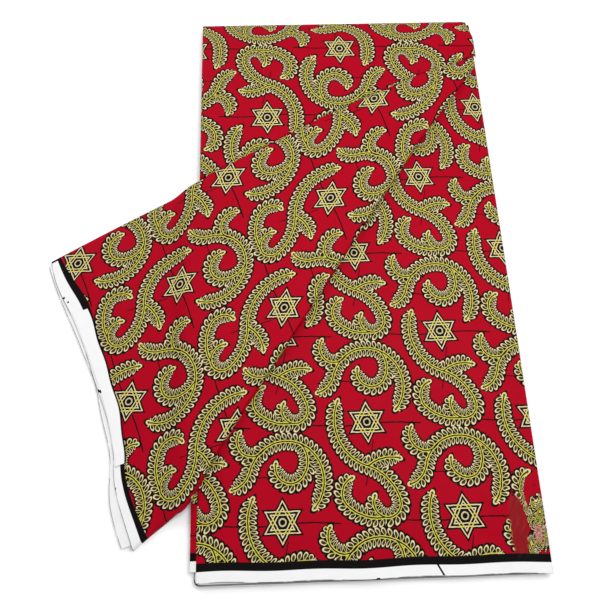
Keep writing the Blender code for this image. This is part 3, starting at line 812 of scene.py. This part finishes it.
class Net:
    """Short calls for building a net of shader nodes."""

    def __init__(self, tree):
        self.tree = tree

    def fill(self, socket, value):
        """Link a socket, or give it a plain value."""
        if isinstance(value, bpy.types.NodeSocket):
            self.tree.links.new(value, socket)
        elif value is not None:
            socket.default_value = value

    def node(self, kind, inputs=(), **settings):
        made = self.tree.nodes.new(kind)
        for key, value in settings.items():
            setattr(made, key, value)
        for key, value in (inputs.items() if isinstance(inputs, dict) else enumerate(inputs)):
            self.fill(made.inputs[key], value)
        return made

    def calc(self, operation, *inputs):
        return self.node("ShaderNodeMath", inputs, operation=operation).outputs[0]

    plus = partialmethod(calc, "ADD")
    minus = partialmethod(calc, "SUBTRACT")
    times = partialmethod(calc, "MULTIPLY")
    over = partialmethod(calc, "DIVIDE")
    larger = partialmethod(calc, "MAXIMUM")
    smaller = partialmethod(calc, "MINIMUM")

    def distance(self, first, second):
        """How far apart two values are."""
        return self.calc("ABSOLUTE", self.minus(first, second))

    def vector(self, operation, *inputs):
        made = self.node("ShaderNodeVectorMath", inputs, operation=operation)
        return made.outputs["Value" if operation in ("LENGTH", "DOT_PRODUCT") else "Vector"]

    def combine(self, x, y, z=0.0):
        return self.node("ShaderNodeCombineXYZ", (x, y, z)).outputs[0]

    def separate(self, vector):
        return self.node("ShaderNodeSeparateXYZ", (vector,)).outputs

    def ramp(self, value, low, high, start=0.0, end=1.0, kind="SMOOTHSTEP"):
        """A value taken from one range to another and held at its ends."""
        return self.node("ShaderNodeMapRange", {"Value": value, "From Min": low, "From Max": high,
                                                "To Min": start, "To Max": end},
                         interpolation_type=kind).outputs[0]

    def below(self, value, limit, soft):
        """1 where the value is below the limit, with a soft step."""
        return self.ramp(value, limit - soft, limit + soft, 1.0, 0.0)

    def colour(self, share, first, second):
        return self.node("ShaderNodeMix", {0: share, 6: first, 7: second}, data_type="RGBA").outputs[2]

    def pick(self, share, first, second):
        """Blend two vectors."""
        return self.node("ShaderNodeMix", {0: share, 4: first, 5: second}, data_type="VECTOR").outputs[1]

    def noise(self, place, scale, detail=2.0, distortion=0.0, output=0):
        return self.node("ShaderNodeTexNoise", {"Vector": place, "Scale": scale, "Detail": detail,
                                                "Distortion": distortion}).outputs[output]

    def bump(self, height, strength, distance, normal=None):
        return self.node("ShaderNodeBump", {"Strength": strength, "Distance": distance, "Height": height,
                                            "Normal": normal}).outputs[0]

    def group(self, tree, inputs):
        return self.node("ShaderNodeGroup", inputs, node_tree=tree).outputs

    def put_out(self, end, results):
        """Link results to a group's outputs."""
        for name, value in results.items():
            self.tree.links.new(value, end[name])
        return self.tree


def new_group(name, inputs, outputs):
    """An empty node group with named sockets; returns its helper, its inputs and its output node."""
    tree = bpy.data.node_groups.new(name, "ShaderNodeTree")
    for direction, sockets in (("INPUT", inputs), ("OUTPUT", outputs)):
        for socket, kind in sockets.items():
            tree.interface.new_socket(socket, in_out=direction, socket_type="NodeSocket" + kind)
    start = tree.nodes.new("NodeGroupInput")
    end = tree.nodes.new("NodeGroupOutput")
    return Net(tree), start.outputs, end.inputs


def lattice_group():
    """The place from the nearest star of the half-drop lattice."""
    net, start, end = new_group("nearest_star", {"Place": "Vector"}, {"Place": "Vector"})
    half = (STAR_PITCH[0] / 2, STAR_PITCH[1] / 2, 0.5)
    back = tuple(-value for value in half)
    flat = net.vector("MULTIPLY", start["Place"], (1.0, 1.0, 0.0))
    straight = net.vector("WRAP", flat, half, back)
    moved = net.vector("SUBTRACT", flat, (half[0], half[1], 0.0))
    dropped = net.vector("WRAP", moved, half, back)
    nearer = net.calc("LESS_THAN", net.vector("LENGTH", dropped), net.vector("LENGTH", straight))
    return net.put_out(end, {"Place": net.pick(nearer, straight, dropped)})


def taper_of(net, to_end):
    """Sprays narrow towards their tips."""
    room = net.over(net.plus(to_end, TAPER_TIP), TAPER_LENGTH)
    return net.calc("SQRT", net.node("ShaderNodeClamp", (room, TAPER_LEAST, 1.0)).outputs[0])


def left_of(heading):
    return Vector((-math.sin(heading), math.cos(heading), 0))


def spray_bends():
    """Each bend of each spray as a circular arc, with the length of spray before it."""
    found = []
    for first, heading, bends, stem in SPRAYS:
        total = sum(radius * abs(math.radians(turn)) for radius, turn in bends) * MM
        place, heading, before = Vector((*first, 0)) * MM, math.radians(heading), 0.0
        for radius, turn in bends:
            radius, turn = radius * MM, math.radians(turn)
            sense = math.copysign(1, turn)
            centre = place + left_of(heading) * sense * radius
            facing = heading - sense * math.pi / 2 + turn / 2
            middle = centre + Vector((math.cos(facing), math.sin(facing), 0)) * BEND_MIDDLE * radius
            found.append({"Middle": middle, "Centre": centre, "Radius": radius, "Facing": facing,
                          "Half Length": radius * abs(turn) / 2, "Sense": sense, "Before": before,
                          "Total": total, "Bonus": STEM_BONUS if stem else 0.0})
            before += radius * abs(turn)
            heading += turn
            place = centre - left_of(heading) * sense * radius
    return found


def spray_group(lattice):
    """One bend of a spray: keeps the nearest bend's distance and the place on it."""
    net, start, end = new_group(
        "spray_bend", {**dict.fromkeys(("Place", "Middle", "Centre", "Spray Place"), "Vector"),
                       **dict.fromkeys(("Radius", "Facing", "Half Length", "Sense", "Before", "Total",
                                        "Bonus", "Distance"), "Float")},
        {"Distance": "Float", "Spray Place": "Vector"})
    around = net.vector("SUBTRACT", start["Place"], start["Middle"])
    near = net.group(lattice, {"Place": around})[0]
    local = net.vector("ADD", near, net.vector("SUBTRACT", start["Middle"], start["Centre"]))
    turned = net.node("ShaderNodeVectorRotate", {"Vector": local, "Angle": start["Facing"]},
                      rotation_type="Z_AXIS", invert=True).outputs[0]
    x, y, _ = net.separate(turned)
    swept = net.times(net.calc("ARCTAN2", y, x), start["Radius"])
    across = net.distance(net.vector("LENGTH", turned), start["Radius"])
    past = net.minus(net.calc("ABSOLUTE", swept), start["Half Length"])
    past = net.times(net.larger(past, 0.0), PAST_END_WEIGHT)
    along = net.plus(net.times(swept, start["Sense"]), start["Half Length"])
    along = net.plus(along, start["Before"])
    to_end = net.smaller(net.plus(along, start["Bonus"]), net.minus(start["Total"], along))
    slimmed = net.over(across, taper_of(net, to_end))
    distance = net.vector("LENGTH", net.combine(past, slimmed))
    nearer = net.calc("LESS_THAN", distance, start["Distance"])
    place = net.combine(along, across, to_end)
    return net.put_out(end, {"Distance": net.smaller(distance, start["Distance"]),
                             "Spray Place": net.pick(nearer, start["Spray Place"], place)})


def leaf_group():
    """Leaflets on both sides of a midrib, from the place on a spray."""
    net, start, end = new_group("leaflets", {"Spray Place": "Vector"}, dict.fromkeys(
        ("Leaf", "Base", "Slit", "Rib", "Rib Line", "Outline"), "Float"))
    along, side, to_end = net.separate(start["Spray Place"])
    reach = net.over(side, taper_of(net, to_end))
    slanted = net.minus(along, net.times(side, LEAF_LEAN))
    cell = net.minus(net.calc("FRACT", net.over(slanted, LEAFLET_PITCH)), 0.5)
    fullness = net.ramp(reach, *LEAF_FILLS, LEAF_NECK)
    wide = net.over(net.times(cell, LEAFLET_PITCH / LEAF_HALF_WIDTH), fullness)
    long = net.over(net.minus(reach, LEAF_MIDDLE), LEAF_HALF_LENGTH)
    ring = net.vector("LENGTH", net.combine(wide, long))
    tip = net.vector("LENGTH", net.combine(net.over(to_end, TIP_LENGTH),
                                           net.over(side, TIP_HALF_WIDTH)))
    inside = net.minus(1.0, net.below(to_end, *SPRAY_END))
    halo = net.times(net.below(ring, *LEAF_HALO), net.below(reach, *HALO_REACH))
    dark = net.times(net.larger(halo, net.below(reach, *BODY_REACH)), inside)
    leaf = net.times(net.below(ring, *LEAF_RIM), inside)
    slit = net.times(net.below(ring, *LEAF_SLIT), inside)
    return net.put_out(end, {
        "Leaf": net.larger(leaf, net.below(tip, *LEAF_RIM)),
        "Base": net.below(reach, *BASE_REACH),
        "Slit": net.larger(slit, net.below(tip, *TIP_SLIT)),
        "Rib": net.times(net.below(side, *RIB), inside),
        "Rib Line": net.times(net.below(side, *RIB_LINE), inside),
        "Outline": net.larger(dark, net.below(tip, *LEAF_HALO)),
    })


def star_group():
    """A six-pointed star of two banded triangles round a dark hexagon, and the veins round it."""
    net, start, end = new_group("six_point_star", {"Place": "Vector"}, dict.fromkeys(
        ("Band", "Line", "Crossing", "Centre", "Outline", "Vein"), "Float"))
    sides = [net.vector("DOT_PRODUCT", start["Place"], (math.cos(turn), math.sin(turn), 0.0))
             for turn in (math.radians(30), math.radians(150), math.radians(270))]
    most = net.larger(net.larger(sides[0], sides[1]), sides[2])
    least = net.smaller(net.smaller(sides[0], sides[1]), sides[2])
    up = net.minus(most, STAR_TIP / 2)
    down = net.minus(net.times(least, -1.0), STAR_TIP / 2)

    def ring(value, outer, inner):
        return net.minus(net.below(value, outer, LINE_SOFT), net.below(value, inner, LINE_SOFT))

    bands = [ring(value, 0.0, -STAR_BAND) for value in (up, down)]
    hollows = [ring(value, *STAR_GAP) for value in (up, down)]
    line = net.larger(*[net.minus(band, hollow) for band, hollow in zip(bands, hollows)])
    x, y, _ = net.separate(start["Place"])
    ripple = net.times(net.calc("SINE", net.times(x, VEIN_RIPPLE_RATE)), VEIN_RIPPLE)
    upright = net.minus(x, net.times(y, VEIN_LEAN))
    courses = ((net.minus(y, ripple), x), (net.plus(y, ripple), x), (upright, y))
    veins = [net.times(net.below(net.distance(off, at * MM), thin * MM, LINE_SOFT),
                       net.below(net.distance(along, middle * MM), half * MM, VEIN_FADE))
             for (off, along), (at, thin, middle, half) in zip(courses, VEINS)]
    return net.put_out(end, {
        "Band": net.larger(*bands),
        "Line": line,
        "Crossing": net.times(line, net.times(*bands)),
        "Centre": net.below(net.larger(up, down), -STAR_BAND, LINE_SOFT),
        "Outline": net.below(net.smaller(up, down), STAR_OUTLINE, 2 * LINE_SOFT),
        "Vein": net.larger(net.larger(veins[0], veins[1]), veins[2]),
    })


def mark_group():
    """One short dark mark on the bare selvedge."""
    net, start, end = new_group("selvedge_mark", dict.fromkeys(
        ("Along", "Off Edge", "At", "Lean", "Half", "From", "To"), "Float"), {"Mark": "Float"})
    leaning = net.plus(start["At"], net.times(start["Off Edge"], start["Lean"]))
    across = net.calc("LESS_THAN", net.distance(start["Along"], leaning), start["Half"])
    above = net.calc("GREATER_THAN", start["Off Edge"], start["From"])
    under = net.calc("LESS_THAN", start["Off Edge"], start["To"])
    return net.put_out(end, {"Mark": net.times(across, net.times(above, under))})


def patch(net, place, middle, reach, soft):
    """1 in a soft oblong patch round a place by the selvedge, 0 outside it."""
    away = net.vector("SUBTRACT", place, (*middle, 0.0))
    x, y, _ = net.separate(net.vector("DIVIDE", away, (*reach, 1.0)))
    powers = [net.calc("POWER", net.calc("ABSOLUTE", value), PATCH_SQUARENESS) for value in (x, y)]
    return net.below(net.plus(*powers), 1.0, soft)


def print_group():
    """The whole print as a colour, with the black border and bare selvedge at the cloth's edge."""
    lattice = lattice_group()
    spray = spray_group(lattice)
    net, start, end = new_group("wax_print", {"Print Place": "Vector", "Edge Place": "Vector",
                                              "Bare Width": "Float", "Border Width": "Float"},
                                {"Colour": "Color", "Fold Shade": "Float"})
    place, edge_place = start["Print Place"], start["Edge Place"]
    wobble = net.noise(place, WOBBLE_SCALE, detail=1.0, output="Color")
    drift = net.vector("SUBTRACT", wobble, (0.5, 0.5, 0.5))
    drawn = net.vector("ADD", place, net.vector("MULTIPLY", drift, (WOBBLE, WOBBLE, 0.0)))
    distance, spray_place = 1.0, (0.0, 1.0, -1.0)
    for bend in spray_bends():
        distance, spray_place = net.group(
            spray, {"Place": drawn, "Distance": distance, "Spray Place": spray_place, **bend})
    leaves = net.group(leaf_group(), {"Spray Place": spray_place})
    centred = net.group(lattice, {"Place": drawn})[0]
    star = net.group(star_group(), {"Place": centred})
    from_star = net.vector("LENGTH", centred)
    ring = net.minus(*[net.below(from_star, radius, EDGE_SOFT) for radius in STAR_RING])

    ground = net.colour(net.times(net.noise(place, CLOUD_SCALE), CLOUD_SHARE), RED, DEEP_RED)
    leaf_tone = net.colour(leaves["Base"], CREAM, YELLOW)
    colour = ground
    for share, tone in (
            (star["Vein"], INK), (leaves["Outline"], INK), (leaves["Leaf"], leaf_tone),
            (leaves["Slit"], OLIVE), (leaves["Rib"], YELLOW), (leaves["Rib Line"], INK),
            (star["Outline"], INK), (star["Band"], INK), (star["Line"], CREAM),
            (star["Crossing"], YELLOW), (star["Centre"], INK), (net.times(ring, RING_SHARE), CREAM)):
        colour = net.colour(share, colour, tone)

    along, from_edge, _ = net.separate(edge_place)
    past_bare = net.minus(from_edge, start["Bare Width"])
    past_border = net.minus(past_bare, start["Border Width"])
    shaken = net.vector("ADD", edge_place, net.vector("MULTIPLY", drift, PATCH_SHAKE))
    # Patch of painted shade over a smooth fold in the crumpled corner
    fold_shade = patch(net, shaken, FOLD_SHADE_MIDDLE, FOLD_SHADE_REACH, FOLD_SHADE_SOFT)
    # Painted pink highlight in the crumpled corner
    highlight = patch(net, shaken, HIGHLIGHT_MIDDLE, HIGHLIGHT_REACH, HIGHLIGHT_SOFT)
    colour = net.colour(fold_shade, colour, PAINTED_FOLD_SHADE)
    colour = net.colour(net.times(highlight, HIGHLIGHT_SHARE), colour, PAINTED_HIGHLIGHT)
    colour = net.colour(net.below(past_border, 0.0, BORDER_SOFT), colour, INK)

    # Grey mottling of the bare selvedge: real grey marks and painted shade
    pale = net.colour(net.times(net.noise(edge_place, MARKS_AND_SHADE_SCALE), MARKS_AND_SHADE_SHARE), SELVEDGE, GREY)
    # Broken painted shadow line along the bare selvedge's outer edge
    stretched = net.vector("MULTIPLY", edge_place, EDGE_SHADOW_BREAK_STRETCH)
    broken_shadow = net.below(net.noise(stretched, EDGE_SHADOW_BREAK_SCALE), *EDGE_SHADOW_BREAKS)
    edge_shadow = net.times(net.below(from_edge, *EDGE_SHADOW), broken_shadow)
    pale = net.colour(net.times(edge_shadow, EDGE_SHADOW_SHARE), pale, INK)
    mark = mark_group()
    for at, lean, half, low, high in MARKS:
        dark = net.group(mark, {"Along": along, "Off Edge": from_edge, "At": at, "Lean": lean,
                                "Half": half * MM, "From": low * MM, "To": high * MM})[0]
        pale = net.colour(dark, pale, INK)
    colour = net.colour(net.below(past_bare, 0.0, EDGE_SOFT), colour, pale)
    return net.put_out(end, {"Colour": colour, "Fold Shade": fold_shade})


def weave_group():
    """Height of a plain weave with slubs and faint rumples, from a place in metres of cloth."""
    net, start, end = new_group("plain_weave", {"Place": "Vector", "Thread": "Float"},
                                {"Weave": "Float", "Rumple": "Float"})
    x, y, _ = net.separate(start["Place"])
    waves = [net.calc("SINE", net.over(net.times(value, math.pi), start["Thread"]))
             for value in (x, y)]
    slub = net.noise(net.vector("MULTIPLY", start["Place"], SLUB_STRETCH), SLUB_SCALE)
    rumple = net.noise(start["Place"], RUMPLE_SCALE, detail=3.0, distortion=RUMPLE_DISTORTION)
    return net.put_out(end, {"Weave": net.plus(net.times(net.times(*waves), 0.5), slub),
                             "Rumple": rumple})


def new_material(name):
    """A material, its node helper and its shader's inputs."""
    material = bpy.data.materials.new(name)
    material.use_nodes = True
    return material, Net(material.node_tree), material.node_tree.nodes["Principled BSDF"].inputs


def cloth_material(name, print_tree, weave, bare_width, border_width):
    material, net, shader = new_material(name)
    print_place = net.node("ShaderNodeUVMap", uv_map="print").outputs[0]
    edge_place = net.node("ShaderNodeUVMap", uv_map="edge").outputs[0]
    printed = net.group(print_tree, {"Print Place": print_place, "Edge Place": edge_place,
                                     "Bare Width": bare_width, "Border Width": border_width})
    woven = net.group(weave, {"Place": print_place, "Thread": THREAD})
    rumple = net.bump(woven["Rumple"], *RUMPLE_BUMP)
    net.fill(shader["Base Color"], printed["Colour"])
    net.fill(shader["Roughness"], net.ramp(woven["Rumple"], 0.0, 1.0, *ROUGHNESS, kind="LINEAR"))
    net.fill(shader["Normal"], net.bump(woven["Weave"], *WEAVE_BUMP, rumple))
    # Clear coat over the patch of painted fold shade
    net.fill(shader["Coat Weight"], net.times(printed["Fold Shade"], FOLD_SHADE_COAT))
    net.fill(shader["Coat Roughness"], FOLD_SHADE_COAT_ROUGHNESS)
    net.fill(shader["Specular IOR Level"], CLOTH_SPECULAR)
    return material


def edge_material(name):
    """Edges of the hidden plies: fine layers seen from the side."""
    material, net, shader = new_material(name)
    place = net.node("ShaderNodeTexCoord").outputs["Object"]
    _, y, z = net.separate(place)
    layer = net.calc("SINE", net.times(z, math.tau / LAYER_PITCH))
    stain = net.noise(net.vector("MULTIPLY", place, STAIN_STRETCH), STAIN_SCALE)
    near_selvedge = net.below(y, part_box("back_stack")[0][1] + PALE_EDGE, EDGE_SOFT)
    tone = net.colour(net.below(stain, *STAIN_LIMIT), RED, OLIVE)
    tone = net.colour(near_selvedge, tone, SELVEDGE)
    tone = net.colour(net.below(layer, *LAYER_LINE), tone, INK)
    net.fill(shader["Base Color"], tone)
    net.fill(shader["Normal"], net.bump(layer, *LAYER_BUMP))
    net.fill(shader["Roughness"], LAYER_ROUGHNESS)
    return material


def dress(piece, material):
    piece.data.materials.clear()
    piece.data.materials.append(material)


def make_floor():
    bpy.ops.object.select_all(action="DESELECT")
    bpy.ops.mesh.primitive_plane_add(size=FLOOR_SIZE, location=(0, 0, -FLOOR_DROP))
    floor = bpy.context.object
    floor.name = "floor"
    material, net, shader = new_material("pale_floor")
    net.fill(shader["Base Color"], WHITE)
    net.fill(shader["Roughness"], FLOOR_ROUGHNESS)
    dress(floor, material)


def make_light(name, place, size, power):
    lamp = bpy.data.lights.new(name, "AREA")
    lamp.shape = "DISK"
    lamp.size = size
    lamp.energy = power
    holder = bpy.data.objects.new(name, lamp)
    holder.location = Vector(place)
    holder.rotation_euler = (Vector(CAMERA_AIM) + SHIFT - Vector(place)).to_track_quat("-Z", "Y").to_euler()
    bpy.context.scene.collection.objects.link(holder)


def make_world(strength):
    world = bpy.data.worlds.new("studio")
    world.use_nodes = True
    background = world.node_tree.nodes["Background"]
    background.inputs[0].default_value = WHITE
    background.inputs[1].default_value = strength
    bpy.context.scene.world = world


def make_camera():
    turn = (Matrix.Rotation(CAMERA_TURN, 4, "Z") @ Matrix.Rotation(CAMERA_TILT, 4, "X")
            @ Matrix.Rotation(CAMERA_ROLL, 4, "Z"))
    place = Vector(CAMERA_AIM) + turn.to_3x3().col[2] * CAMERA_DISTANCE + SHIFT
    lens = bpy.data.cameras.new("camera")
    lens.lens = CAMERA_LENS
    lens.sensor_width = CAMERA_SENSOR
    lens.clip_start = CAMERA_CLIP
    camera = bpy.data.objects.new("camera", lens)
    camera.matrix_world = Matrix.Translation(place) @ turn
    bpy.context.scene.collection.objects.link(camera)
    bpy.context.scene.camera = camera


# The solids' frame stands on the middle of the footprint
BACK_LOW, BACK_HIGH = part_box("back_panel")
SHIFT = Vector((BACK_LOW[0], BACK_HIGH[1] - PANEL_END_Y, 0))
SAMPLES = crease_samples()

make_camera()
make_world(WORLD_STRENGTH)
for light in LIGHTS:
    make_light(*light)
make_floor()

print_tree = print_group()
weave = weave_group()
back_print = cloth_material("back_print", print_tree, weave, BACK_BARE, BACK_BORDER)
top_print = cloth_material("top_print", print_tree, weave, BACK_BARE, BACK_BORDER)
wedge_finish = cloth_material("wedge_print", print_tree, weave, WEDGE_BARE, WEDGE_BORDER)
fan_print = cloth_material("fan_selvedge", print_tree, weave, FAN_BARE, HIDDEN_BORDER)
strip_bare = cloth_material("turned_bare", print_tree, weave, TURNED_BARE - TURNED_LINE, HIDDEN_BORDER)
ply_edges = edge_material("ply_edges_fine")

dress(make_back_cloth(), back_print)
dress(make_second_cloth(), back_print)
dress(make_top_cloth(), top_print)
dress(make_wedge_cloth(), wedge_finish)
for fan_ply in FAN_PLIES:
    dress(make_fan_cloth(fan_ply), fan_print)
dress(make_turned_strip(), strip_bare)
for hidden in ("back_stack", "front_core", "wedge_core"):
    dress(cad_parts[hidden], ply_edges)

bpy.context.scene.view_settings.view_transform = "Standard"

bpy.context.view_layer.update()
